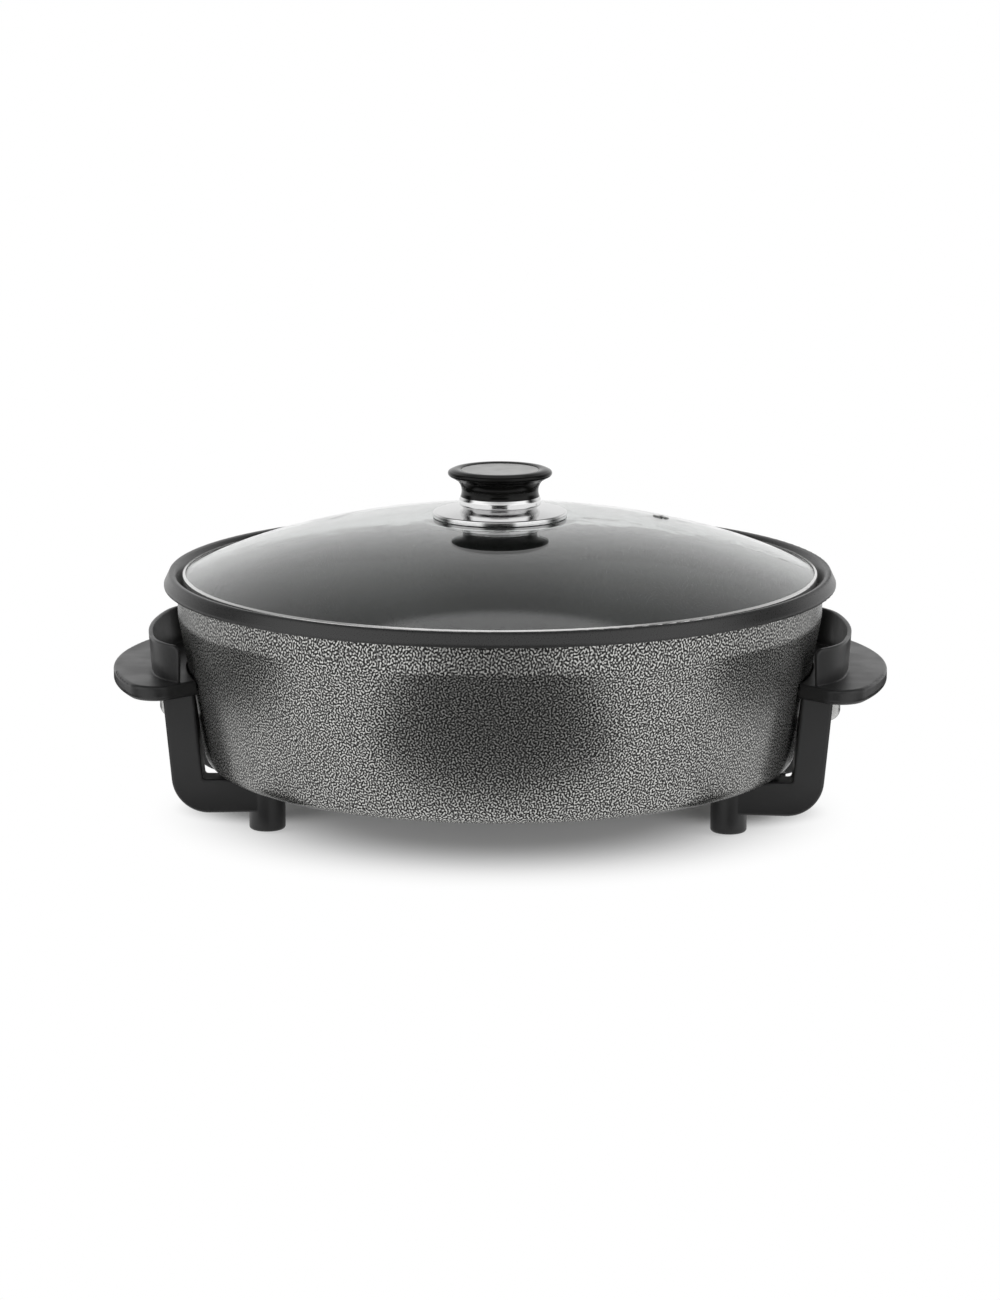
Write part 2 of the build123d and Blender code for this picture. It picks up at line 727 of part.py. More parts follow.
# Vent eyelet: flanged over both faces of the glass
with BuildPart() as vent_eyelet:
    with Locations(vent_plane):
        Cylinder(eyelet_flange_radius, eyelet_flange, align=(Align.CENTER, Align.CENTER, Align.MIN))
    with Locations(vent_plane.offset(-glass_thickness - glass_play)):
        Cylinder(eyelet_radius, glass_thickness + glass_play, align=(Align.CENTER, Align.CENTER, Align.MIN))
        Cylinder(eyelet_flange_radius, eyelet_flange, align=(Align.CENTER, Align.CENTER, Align.MAX))
    chamfer(vent_eyelet.edges().filter_by(GeomType.CIRCLE).group_by(SortBy.RADIUS)[-1], length=eyelet_bevel)
    with Locations(vent_plane):
        Hole(radius=eyelet_bore, depth=3 * glass_thickness)
vent_eyelet.part.label = "vent_eyelet"
export_step(vent_eyelet.part, "parts/vent_eyelet.step")

# Gasket between the glass and the knob's saucer
with BuildPart() as knob_gasket:
    with BuildSketch(Plane.XY.offset(apex)):
        Circle(gasket_radius)
        Circle(gasket_hole_radius, mode=Mode.SUBTRACT)
    extrude(amount=gasket_thickness)
knob_gasket.part.label = "knob_gasket"
export_step(knob_gasket.part, "parts/knob_gasket.step")

# Knob skirt: a chromed, sloping saucer with a turned-down rim, and a swelling neck
skirt_foot = apex + gasket_thickness
skirt_seat = skirt_foot + saucer_sheet
neck_bore = neck_foot_radius - neck_wall
with BuildPart() as knob_skirt:
    rim_inner = saucer_radius - saucer_rim_wall
    saucer_foot = apex + saucer_top - saucer_rim_depth
    saucer_edge = (saucer_radius, apex + saucer_top)
    swell_low = (neck_radius, apex + neck_swell_bottom)
    swell_high = (neck_radius, apex + neck_swell_top)
    with BuildSketch(Plane.XZ) as skirt_section:
        with BuildLine():
            Polyline(
                (gasket_hole_radius, skirt_foot),
                (neck_foot_radius, skirt_foot),
                (neck_foot_radius, apex + saucer_root - saucer_sheet),
                (rim_inner, apex + saucer_top - saucer_sheet),
                (rim_inner, saucer_foot),
                (saucer_radius, saucer_foot),
                saucer_edge,
                (neck_foot_radius, apex + saucer_root),
                swell_low,
                swell_high,
                (grip_waist_radius + neck_round / 2, apex + neck_top),
                (neck_bore, apex + neck_top),
                (neck_bore, skirt_seat),
                (gasket_hole_radius, skirt_seat),
                close=True,
            )
        make_face()
        fillet(skirt_section.vertices().sort_by_distance(saucer_edge)[0], radius=saucer_round)
        for corner in (swell_low, swell_high):
            fillet(skirt_section.vertices().sort_by_distance(corner)[0], radius=neck_round)
    revolve(axis=Axis.Z)
knob_skirt.part.label = "knob_skirt"
export_step(knob_skirt.part, "parts/knob_skirt.step")

# Knob grip: a waisted spool with a round bead and a dished top for the inlay
stem_radius = neck_bore - seat_play
with BuildPart() as knob_grip:
    inlay_wall = inlay_radius + seat_play
    inlay_floor = apex + inlay_edge_height - inlay_depth
    with BuildSketch(Plane.XZ):
        with BuildLine():
            waist = ThreePointArc(
                (grip_waist_radius + neck_round / 2, apex + neck_top),
                (grip_waist_radius, apex + grip_waist_height),
                (grip_throat_radius, apex + grip_throat_height),
            )
            under = Line(waist @ 1, (bead_under_radius, apex + bead_under_height))
            bead = ThreePointArc(
                under @ 1,
                (bead_radius, apex + bead_height),
                (bead_top_radius, apex + bead_top_height),
            )
            crown = ThreePointArc(
                bead @ 1,
                (crown_radius, apex + crown_height),
                (inlay_wall, apex + inlay_edge_height),
            )
            Polyline(
                crown @ 1,
                (inlay_wall, inlay_floor),
                (0, inlay_floor),
                (0, skirt_seat),
                (stem_radius, skirt_seat),
                (stem_radius, apex + neck_top),
                waist @ 0,
            )
        make_face()
    revolve(axis=Axis.Z)
    with Locations(upward(0, 0, skirt_seat)):
        Hole(radius=knob_insert_radius + screw_play, depth=knob_insert_length + seat_play)
knob_grip.part.label = "knob_grip"
export_step(knob_grip.part, "parts/knob_grip.step")

# Inlay: a plain satin disc in the top of the knob
with BuildPart() as knob_inlay:
    with BuildSketch(Plane.XY.offset(inlay_floor)):
        Circle(inlay_radius)
    extrude(amount=inlay_thickness)
knob_inlay.part.label = "knob_inlay"
export_step(knob_inlay.part, "parts/knob_inlay.step")

# Threaded brass insert in the knob's stem
with BuildPart() as knob_insert:
    with BuildSketch(Plane.XY.offset(skirt_seat)):
        Circle(knob_insert_radius)
        Circle(screw_radius + screw_play, mode=Mode.SUBTRACT)
    extrude(amount=knob_insert_length)
knob_insert.part.label = "knob_insert"
export_step(knob_insert.part, "parts/knob_insert.step")

# Gasket, washer and screw under the glass
lower_gasket_top = dome_point(lower_gasket_radius, -glass_thickness)[1]
washer_top = lower_gasket_top - gasket_thickness
screw_seat = washer_top - washer_thickness
with BuildPart() as knob_lower_gasket:
    with BuildSketch(Plane.XY.offset(washer_top)):
        Circle(lower_gasket_radius)
        Circle(gasket_hole_radius, mode=Mode.SUBTRACT)
    extrude(amount=gasket_thickness)
knob_lower_gasket.part.label = "knob_lower_gasket"
export_step(knob_lower_gasket.part, "parts/knob_lower_gasket.step")

with BuildPart() as knob_washer:
    with BuildSketch(Plane.XY.offset(screw_seat)):
        Circle(washer_radius)
        Circle(screw_radius + seat_play, mode=Mode.SUBTRACT)
    extrude(amount=washer_thickness)
knob_washer.part.label = "knob_washer"
export_step(knob_washer.part, "parts/knob_washer.step")

with BuildPart() as knob_screw:
    with Locations((0, 0, screw_seat)):
        add(
            pan_head_screw(
                screw_radius,
                skirt_seat + knob_screw_reach - screw_seat,
                screw_head_radius,
                screw_head_height,
                screw_head_bevel,
            )
        )
knob_screw.part.label = "knob_screw"
export_step(knob_screw.part, "parts/knob_screw.step")

print("lid apex", round(apex, 2), "knob top", round(apex + crown_height, 2))
print("pan base radius", round(base_radius, 2), "lid band radius", round(band_radius, 2))
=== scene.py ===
# %% [markdown]
# A round electric pan stands on two black mouldings, which are its grips, legs and feet in one, and it has
# a loose lid of domed glass with a knob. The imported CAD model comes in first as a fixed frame. It has the
# real sizes, so everything below takes its places from it, in metres and with +Z up, and no shape is made
# twice.

# %% Load the frame
import math

import bmesh
import bpy
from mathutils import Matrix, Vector


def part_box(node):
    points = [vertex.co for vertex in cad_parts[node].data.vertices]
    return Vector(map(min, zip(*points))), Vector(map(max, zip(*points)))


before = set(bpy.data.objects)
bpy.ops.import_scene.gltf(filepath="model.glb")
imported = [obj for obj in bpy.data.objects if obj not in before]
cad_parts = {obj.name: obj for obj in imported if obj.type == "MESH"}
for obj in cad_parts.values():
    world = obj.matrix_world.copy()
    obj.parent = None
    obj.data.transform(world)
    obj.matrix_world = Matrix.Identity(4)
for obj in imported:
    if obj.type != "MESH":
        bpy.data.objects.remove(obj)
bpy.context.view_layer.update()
MM = 0.001
_, pan_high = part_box("pan_casting")
_, glass_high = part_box("lid_glass")
rim_radius = pan_high.y
rim_top = pan_high.z
print("nodes", len(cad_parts), "rim radius", round(rim_radius, 4), "rim top", round(rim_top, 4))
print("top of the glass", round(glass_high.z, 4))

# %% [markdown]
# The camera looks from a little above and stands well back, so the ellipses of the rim stay flat. It could
# be placed by eye, but an elevation, an azimuth and a distance say the same in numbers that can be
# measured. A lens is given by its focal length on a sensor of 36 mm, which Blender fits to the long side of
# the picture.

# %% Camera
camera_distance = 2.6
camera_elevation = math.radians(11.636)
camera_azimuth = math.radians(1.5)
target_below_rim = 53.35 * MM
picture_width = 1000
picture_height = 1300
focal_pixels = 4095

camera_data = bpy.data.cameras.new("camera")
camera_data.sensor_width = 36
camera_data.lens = focal_pixels * camera_data.sensor_width / max(picture_width, picture_height)
camera = bpy.data.objects.new("camera", camera_data)
bpy.context.scene.collection.objects.link(camera)
backwards = Vector((
    math.sin(camera_azimuth) * math.cos(camera_elevation),
    -math.cos(camera_azimuth) * math.cos(camera_elevation),
    math.sin(camera_elevation),
))
camera.location = Vector((0, 0, rim_top - target_below_rim)) + camera_distance * backwards
camera.rotation_mode = "QUATERNION"
camera.rotation_quaternion = (-backwards).to_track_quat("-Z", "Y")
bpy.context.scene.camera = camera
print("lens", round(camera_data.lens, 1), "mm, camera at", [round(v, 3) for v in camera.location])

# %% [markdown]
# A material in Blender is a tree of nodes. It could be clicked together in the Shader Editor, but a script
# can be read and run again, so short helpers build the trees here. The first ones start a material with its
# Principled shader, add a node whose sockets take values or links, and work with Math nodes, alone or in a
# chain.

# %% Node helpers


def start_material(name, **settings):
    """A new material with a Principled shader whose sockets take these values."""
    made = bpy.data.materials.new(name)
    made.use_nodes = True
    tree = made.node_tree
    shader = tree.nodes["Principled BSDF"]
    for socket, value in settings.items():
        shader.inputs[socket.replace("_", " ")].default_value = value
    return made, tree, shader


def add_node(tree, kind, inputs=None, **settings):
    """A node of this kind; inputs are values, or sockets to link from."""
    made = tree.nodes.new(kind)
    for name, value in settings.items():
        setattr(made, name, value)
    for name, value in (inputs or {}).items():
        if isinstance(value, bpy.types.NodeSocket):
            tree.links.new(value, made.inputs[name])
        else:
            made.inputs[name].default_value = value
    return made


def math_node(tree, operation, *values):
    """The output of a Math node over these values or sockets."""
    return add_node(tree, "ShaderNodeMath", dict(enumerate(values)), operation=operation).outputs[0]


def chain(tree, operation, first, *others):
    """The output of Math nodes that take these values in one after another."""
    total = first
    for value in others:
        total = math_node(tree, operation, total, value)
    return total


print("node helpers", [helper.__name__ for helper in (start_material, add_node, math_node, chain)])

# %% [markdown]
# Real finishes are never quite even: there are clouds in a polish, grain in a coat and dust on rubber.
# Pictures could carry that, but a pattern worked out from the object's own coordinates has no seams and
# stays on the piece when the piece moves. These helpers make a noise, map it to a range, mix two colours by
# it and turn it into bumps.

# %% Pattern helpers
noise_low = 0.3
noise_high = 0.7
bevel_samples = 6
# A Mix node has sockets for every kind of value, and these are the ones for colours.
first_colour_in = 6
second_colour_in = 7
mixed_colour_out = 2


def object_point(tree):
    """The output with the object's own coordinates."""
    return add_node(tree, "ShaderNodeTexCoord").outputs["Object"]


def noise(tree, point, scale, detail=2.0):
    """The value of a noise with cells about 1 / scale metres wide, mostly from noise_low to noise_high."""
    made = add_node(tree, "ShaderNodeTexNoise", {"Vector": point, "Scale": scale, "Detail": detail})
    return made.outputs["Fac"]


def ramp(tree, value, low, high, low_to=0.0, high_to=1.0, smooth=True):
    """Value mapped from low..high to low_to..high_to, and held flat outside."""
    made = add_node(
        tree,
        "ShaderNodeMapRange",
        {"Value": value, "From Min": low, "From Max": high, "To Min": low_to, "To Max": high_to},
        interpolation_type="SMOOTHSTEP" if smooth else "LINEAR",
    )
    return made.outputs["Result"]


def mix_colour(tree, share, first, second):
    """Colour that goes from first to second with share."""
    made = add_node(tree, "ShaderNodeMix", {"Factor": share}, data_type="RGBA")
    for index, value in ((first_colour_in, first), (second_colour_in, second)):
        if isinstance(value, bpy.types.NodeSocket):
            tree.links.new(value, made.inputs[index])
        else:
            made.inputs[index].default_value = (*value, 1)
    return made.outputs[mixed_colour_out]


def bump(tree, shader, height, distance, strength=1.0, soft_edge=0.0):
    """Bumps of this height in metres on the shader's surface, with rounded edges where asked for."""
    made = add_node(tree, "ShaderNodeBump", {"Height": height, "Distance": distance, "Strength": strength})
    if soft_edge:
        rounded = add_node(tree, "ShaderNodeBevel", {"Radius": soft_edge}, samples=bevel_samples)
        tree.links.new(rounded.outputs["Normal"], made.inputs["Normal"])
    tree.links.new(made.outputs["Normal"], shader.inputs["Normal"])


print("pattern helpers", [helper.__name__ for helper in (object_point, noise, ramp, mix_colour, bump)])

# %% [markdown]
# The pan, the lid and the knob are round about one upright axis, and every CAD node has its origin on it. A
# finish that follows the round shape therefore needs only the distance from that axis and the height, and
# both come from the object's coordinates.

# %% Places about the axis


def length_of(tree, vector):
    """The output with the length of this vector."""
    return add_node(tree, "ShaderNodeVectorMath", {0: vector}, operation="LENGTH").outputs["Value"]


def radius_and_height(tree):
    """Outputs for the point, for its distance from the axis and for its height."""
    point = object_point(tree)
    split = add_node(tree, "ShaderNodeSeparateXYZ", {"Vector": point})
    flat = add_node(tree, "ShaderNodeCombineXYZ", {"X": split.outputs["X"], "Y": split.outputs["Y"]})
    return point, length_of(tree, flat.outputs[0]), split.outputs["Z"]


# %% [markdown]
# The pan is one casting with three finishes: hammer paint on its wall, a satin graphite non-stick coat on
# the rim and inside, and bare metal on the lugs and bosses. The mesh could be cut into three, but a CAD
# node is left as it is, so masks tell the finishes apart: the wall is thin, and where its outer face runs
# is known at every height.

# %% Pan masks
collar_top = rim_top - 9.1 * MM
collar_bottom = collar_top - 18 * MM
collar_radius = rim_radius - 8.5 * MM
wall_slope = math.tan(math.radians(10.1))
base_height = 35.5 * MM
base_radius = collar_radius - (collar_bottom - base_height) * wall_slope
half_wall = 2 * MM
bare_depth = 1.2 * MM
coat_overlap = 0.1 * MM


def pan_masks(tree, radius, height):
    """Two masks: where the casting is painted, and where it is bare."""
    lean = math_node(tree, "MULTIPLY_ADD", height, wall_slope, base_radius - base_height * wall_slope)
    face = math_node(tree, "MINIMUM", lean, collar_radius)
    beyond = math_node(tree, "SUBTRACT", radius, face)
    wall = math_node(tree, "GREATER_THAN", beyond, -half_wall)
    underside = math_node(tree, "LESS_THAN", height, base_height + half_wall)
    outside = math_node(tree, "MAXIMUM", wall, underside)
    below_rim = math_node(tree, "LESS_THAN", height, collar_top - coat_overlap)
    painted = math_node(tree, "MULTIPLY", outside, below_rim)
    lug = math_node(tree, "GREATER_THAN", beyond, bare_depth)
    low_lug = math_node(tree, "MULTIPLY", lug, math_node(tree, "LESS_THAN", height, collar_bottom))
    boss = math_node(tree, "LESS_THAN", height, base_height - bare_depth)
    return painted, math_node(tree, "MAXIMUM", low_lug, boss)


print("collar radius", round(collar_radius, 4), "base radius", round(base_radius, 4))

# %% [markdown]
# Hammer paint is dark paint that draws back from light metal flakes while it dries, and leaves worm-like
# islands about a millimetre wide. A noise would give blobs of many sizes, and a Gabor texture gives worms
# of one width. Its flat kind is much faster than its solid kind, so the wall is unrolled for it: the angle
# goes along the sheet, and the height together with the radius, squeezed to the real length of the wall,
# goes up it.

# %% Hammer paint
worm_scale = 425
worm_frequency = 1.25
wall_squeeze = 0.86
flake_start = 0.42
flake_full = 0.70


def hammer_flakes(tree, point, radius, height):
    """One on a flake and zero in the dark paint round it."""
    split = add_node(tree, "ShaderNodeSeparateXYZ", {"Vector": point})
    angle = math_node(tree, "ARCTAN2", split.outputs["Y"], split.outputs["X"])
    around = math_node(tree, "MULTIPLY", angle, collar_radius)
    up_wall = math_node(tree, "MULTIPLY", math_node(tree, "ADD", height, radius), wall_squeeze)
    unrolled = add_node(tree, "ShaderNodeCombineXYZ", {"X": around, "Y": up_wall})
    worms = add_node(
        tree,
        "ShaderNodeTexGabor",
        {
            "Vector": unrolled.outputs[0],
            "Scale": worm_scale,
            "Frequency": worm_frequency,
            "Anisotropy": 0.0,
        },
        gabor_type="2D",
    )
    return ramp(tree, worms.outputs["Value"], flake_start, flake_full)


print("worms about", round(1000 / worm_scale / worm_frequency / 2, 2), "mm wide")

# %% [markdown]
# The three finishes of the casting meet in one Principled shader. The masks pick the colour, the roughness
# and how metallic it is, and a fine grain lies over all of it. A Bevel node rounds the corners in the light
# alone, because the mesh keeps its edges.

# %% Pan finish
dark_paint = (0.010, 0.010, 0.010)
bright_flake = (0.70, 0.70, 0.68)
coat_dark = (0.010, 0.010, 0.010)
coat_light = (0.024, 0.024, 0.024)
cast_dark = (0.46, 0.46, 0.45)
cast_light = (0.60, 0.60, 0.59)
paint_rough_range = (0.25, 0.30)
coat_rough_range = (0.27, 0.35)
flake_metal = 0.80
flake_metal_edge = 0.3
coat_edge = (1, 1, 1)
paint_edge = (0.35, 0.35, 0.35)
cast_grain = 1500
cast_grain_depth = 0.02 * MM
cast_corner = 3 * MM


def pan_finish():
    """Hammer paint on the wall, non-stick coat on the rim and inside, bare lugs and bosses."""
    made, tree, shader = start_material("pan_hammer_and_nonstick")
    point, radius, height = radius_and_height(tree)
    painted, bare = pan_masks(tree, radius, height)
    flakes = hammer_flakes(tree, point, radius, height)
    grain = noise(tree, point, cast_grain, detail=1.0)

    paint = mix_colour(tree, flakes, dark_paint, bright_flake)
    coat = mix_colour(tree, grain, coat_dark, coat_light)
    cast = mix_colour(tree, grain, cast_dark, cast_light)
    skin = mix_colour(tree, painted, coat, paint)
    tree.links.new(mix_colour(tree, bare, skin, cast), shader.inputs["Base Color"])

    paint_rough = ramp(tree, flakes, 0, 1, *paint_rough_range)
    coat_rough = ramp(tree, grain, noise_low, noise_high, *coat_rough_range)
    rough = add_node(tree, "ShaderNodeMix", {"Factor": painted, "A": coat_rough, "B": paint_rough})
    tree.links.new(rough.outputs[0], shader.inputs["Roughness"])
    metal_flake = ramp(tree, flakes, 0.0, flake_metal_edge, 0.0, flake_metal)
    flaky = math_node(tree, "MULTIPLY", painted, metal_flake)
    tree.links.new(math_node(tree, "MAXIMUM", flaky, bare), shader.inputs["Metallic"])
    tree.links.new(mix_colour(tree, painted, coat_edge, paint_edge), shader.inputs["Specular Tint"])
    bump(tree, shader, grain, cast_grain_depth, strength=0.7, soft_edge=cast_corner)
    return made


hammer_and_nonstick = pan_finish()
print(hammer_and_nonstick.name, "has", len(hammer_and_nonstick.node_tree.nodes), "nodes")

# %% [markdown]
# The grips are moulded from black phenolic. It isn't pure black, and its skin is satin with a very fine
# grain, so the edges catch a soft grey line. The knob is the same compound polished: only its roughness and
# its reflection differ, so it has no bumps and no soft edge.

# %% Black mouldings
satin_rough = (0.32, 0.40)
gloss_rough = (0.08, 0.13)


def satin_phenolic():
    """Black satin moulding compound with faint clouds and a fine skin."""
    made, tree, shader = start_material("satin_black_phenolic", Specular_IOR_Level=0.5)
    point = object_point(tree)
    cloud = noise(tree, point, scale=45, detail=3)
    colour = mix_colour(tree, cloud, (0.010, 0.010, 0.0103), (0.017, 0.017, 0.0173))
    tree.links.new(colour, shader.inputs["Base Color"])
    tree.links.new(ramp(tree, cloud, noise_low, noise_high, *satin_rough), shader.inputs["Roughness"])
    skin = noise(tree, point, scale=2600, detail=1)
    bump(tree, shader, skin, distance=0.02 * MM, strength=0.6, soft_edge=1.5 * MM)
    return made


def gloss_phenolic():
    """Polished black of the knob."""
    made, tree, shader = start_material("gloss_black_phenolic", Specular_IOR_Level=0.16)
    cloud = noise(tree, object_point(tree), scale=60, detail=3)
    colour = mix_colour(tree, cloud, (0.004, 0.004, 0.004), (0.008, 0.008, 0.007))
    tree.links.new(colour, shader.inputs["Base Color"])
    tree.links.new(ramp(tree, cloud, noise_low, noise_high, *gloss_rough), shader.inputs["Roughness"])
    return made


black_phenolic = satin_phenolic()
knob_black = gloss_phenolic()
print("mouldings", black_phenolic.name, knob_black.name)

# %% [markdown]
# The pads under the feet and the washers of the knob are matt rubber, and the block behind the inlet pins
# is a pale insulator that looks much the same. Matt means that light is spread widely: a high roughness, a
# weak reflection and the tooth of fine dust do that, so one function serves both colours.

# %% Rubber and insulator
matt_rough = (0.7, 0.85)
dust_shade = 0.7


def soft_rubber(name, colour):
    """Matt rubber, or a moulded insulator, in this colour."""
    made, tree, shader = start_material(name, Specular_IOR_Level=0.3)
    dust = noise(tree, object_point(tree), scale=700, detail=2)
    darker = tuple(dust_shade * channel for channel in colour)
    tree.links.new(mix_colour(tree, dust, darker, colour), shader.inputs["Base Color"])
    tree.links.new(ramp(tree, dust, noise_low, noise_high, *matt_rough), shader.inputs["Roughness"])
    bump(tree, shader, dust, distance=0.03 * MM)
    return made


black_rubber = soft_rubber("black_rubber", colour=(0.030, 0.030, 0.030))
pale_insulator = soft_rubber("pale_insulator", colour=(0.72, 0.68, 0.60))
print("matt pieces", black_rubber.name, pale_insulator.name)

# %% [markdown]
# Metals differ by their colour and by the marks of how they were made. Each has a cloudy polish here, and
# the disc in the knob also carries the fine rings of a lathe. Rings could be cut into the mesh, but a noise
# along the radius gives them as bumps far finer than any mesh.

# %% Metals
polish_shade = 0.88


def turned_metal(name, colour, rough_range, ring_scale=0.0, ring_depth=0.0):
    """Metal with cloudy polish and, where asked for, fine rings about the Z axis."""
    made, tree, shader = start_material(name, Metallic=1.0)
    point, radius, _ = radius_and_height(tree)
    cloud = noise(tree, point, scale=120, detail=3)
    darker = tuple(polish_shade * channel for channel in colour)
    tree.links.new(mix_colour(tree, cloud, darker, colour), shader.inputs["Base Color"])
    tree.links.new(ramp(tree, cloud, noise_low, noise_high, *rough_range), shader.inputs["Roughness"])
    if ring_scale:
        rings = add_node(tree, "ShaderNodeTexNoise", {"Scale": ring_scale}, noise_dimensions="1D")
        tree.links.new(radius, rings.inputs["W"])
        bump(tree, shader, rings.outputs["Fac"], ring_depth)
    return made


plated_steel = turned_metal("plated_steel", (0.56, 0.56, 0.55), (0.22, 0.34))
brass = turned_metal("turned_brass", (0.72, 0.52, 0.25), (0.2, 0.32))
bright_steel = turned_metal("bright_band_steel", (0.90, 0.90, 0.89), (0.14, 0.22))
cast_metal = turned_metal("cast_aluminium", (0.58, 0.58, 0.57), (0.38, 0.50))
chrome = turned_metal("polished_chrome", (0.80, 0.80, 0.80), (0.09, 0.13))
satin_disc = turned_metal(
    "satin_turned_disc", (0.60, 0.60, 0.59), (0.32, 0.42), ring_scale=2600, ring_depth=0.02 * MM
)
metals = (plated_steel, brass, bright_steel, cast_metal, chrome, satin_disc)
print("metals", [metal.name for metal in metals])

# %% [markdown]
# The lid is clear glass four millimetres thick with a trace of green. Light from lamps can't pass through
# refracting glass in a path tracer without a great many samples, so shadow rays and scattered light meet a
# Transparent shader instead. The Light Path node tells the rays apart.

# %% Glass
glass_tint_low = (0.955, 0.985, 0.97)
glass_tint_high = (0.975, 0.99, 0.985)
glass_shadow = (0.93, 0.96, 0.945, 1)
glass_rough = (0.0, 0.02)


def seen_rays(tree, *kinds):
    """One where a ray is of any of these kinds."""
    path = add_node(tree, "ShaderNodeLightPath")
    return chain(tree, "MAXIMUM", *(path.outputs[kind] for kind in kinds))


def mix_shaders(tree, share, first, second):
    """A shader node that goes from first to second with share."""
    made = add_node(tree, "ShaderNodeMixShader", {0: share})
    tree.links.new(first.outputs[0], made.inputs[1])
    tree.links.new(second.outputs[0], made.inputs[2])
    return made


def put_on_surface(tree, shader):
    """Show this shader in place of the one that the material started with."""
    tree.links.new(shader.outputs[0], tree.nodes["Material Output"].inputs["Surface"])


def clear_glass():
    """Clear glass with a trace of green that lets lamps through."""
    made, tree, shader = start_material("clear_lid_glass", Transmission_Weight=1.0, IOR=1.5)
    film = noise(tree, object_point(tree), scale=9, detail=3)
    tree.links.new(mix_colour(tree, film, glass_tint_low, glass_tint_high), shader.inputs["Base Color"])
    tree.links.new(ramp(tree, film, noise_low, noise_high, *glass_rough), shader.inputs["Roughness"])
    clear = add_node(tree, "ShaderNodeBsdfTransparent", {"Color": glass_shadow})
    passes = seen_rays(tree, "Is Shadow Ray", "Is Diffuse Ray")
    put_on_surface(tree, mix_shaders(tree, passes, shader, clear))
    return made


lid_clear = clear_glass()
print(lid_clear.name, "has", len(lid_clear.node_tree.nodes), "nodes")

# %% [markdown]
# Each finish is made once and goes into the slot of the CAD nodes that have it. Screws, pins, the washer of
# the knob, the heating element and the shroud of the inlet are all plated steel, so a node gets that when
# the table doesn't name it, unless it is one of the rubber foot pads.

# %% Assign finishes
finishes = {
    "pan_casting": hammer_and_nonstick,
    "handle_left": black_phenolic,
    "handle_right": black_phenolic,
    "lid_glass": lid_clear,
    "lid_band": bright_steel,
    "vent_eyelet": bright_steel,
    "knob_skirt": chrome,
    "knob_grip": knob_black,
    "knob_inlay": satin_disc,
    "element_carrier": cast_metal,
    "probe_boss": cast_metal,
    "terminal_block": pale_insulator,
    "probe_sleeve": brass,
    "knob_insert": brass,
    "handle_insert_left": brass,
    "handle_insert_right": brass,
    "knob_gasket": black_rubber,
    "knob_lower_gasket": black_rubber,
}
for name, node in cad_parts.items():
    finish = finishes.get(name, black_rubber if name.startswith("foot_pad") else plated_steel)
    node.data.materials.clear()
    node.data.materials.append(finish)
print("finishes", len(bpy.data.materials))

# %% [markdown]
# Everything round the pan is stage, and not part of the object: a floor, a dome to mirror and a few cloths.

# %% Stage pieces


def stage_piece(name, shape, place=(0, 0, 0)):
    """An object for the stage made from this bmesh."""
    data = bpy.data.meshes.new(name)
    shape.to_mesh(data)
    shape.free()
    made = bpy.data.objects.new(name, data)
    made.location = place
    bpy.context.scene.collection.objects.link(made)
    return made


def flat_sheet(width, depth):
    """A level rectangle about the origin."""
    sheet = bmesh.new()
    bmesh.ops.create_grid(sheet, x_segments=1, y_segments=1, size=0.5)
    bmesh.ops.scale(sheet, vec=(width, depth, 1), verts=sheet.verts)
    return sheet


floor_width = 40
floor_drop = 0.2 * MM
floor = stage_piece("floor", flat_sheet(floor_width, floor_width), (0, 0, -floor_drop))
print("floor", floor_width, "m wide, at", round(floor.location.z, 4))

# %% [markdown]
# The pan stands on a white table that runs into a white background, with a soft shadow under the pan and a
# darker one between its legs. A shadow catcher would have to be laid over white afterwards, so the floor is
# white paint that takes shadow under the pan and goes over to a plain white glow further out. From below the
# floor is clear, so the underside of the pan can be looked at.

# %% Floor
shadow_stretch = 1.12
shadow_core = 85 * MM
shadow_edge = 205 * MM
shadow_core_glow = 0.12
leg_shadow_x = 148 * MM
leg_shadow_half_width = 65 * MM
leg_shadow_half_depth = 50 * MM
leg_shadow_core = 0.3
leg_shadow_core_glow = 0.1


def glow_under_pan(tree, point):
    """The share of the glow round a long ellipse under the pan."""
    squeeze = (1 / shadow_stretch, 1, 1)
    squeezed = add_node(tree, "ShaderNodeVectorMath", {0: point, 1: squeeze}, operation="MULTIPLY")
    away = length_of(tree, squeezed.outputs[0])
    return ramp(tree, away, shadow_core, shadow_edge, shadow_core_glow, 1.0)


def glow_by_legs(tree, point):
    """The share of the glow round a small ellipse between the legs of each moulding."""
    split = add_node(tree, "ShaderNodeSeparateXYZ", {"Vector": point})
    aside = math_node(tree, "SUBTRACT", math_node(tree, "ABSOLUTE", split.outputs["X"]), leg_shadow_x)
    across = math_node(tree, "DIVIDE", aside, leg_shadow_half_width)
    along = math_node(tree, "DIVIDE", split.outputs["Y"], leg_shadow_half_depth)
    ellipse = add_node(tree, "ShaderNodeCombineXYZ", {"X": across, "Y": along})
    away = length_of(tree, ellipse.outputs[0])
    return ramp(tree, away, leg_shadow_core, 1.0, leg_shadow_core_glow, 1.0)


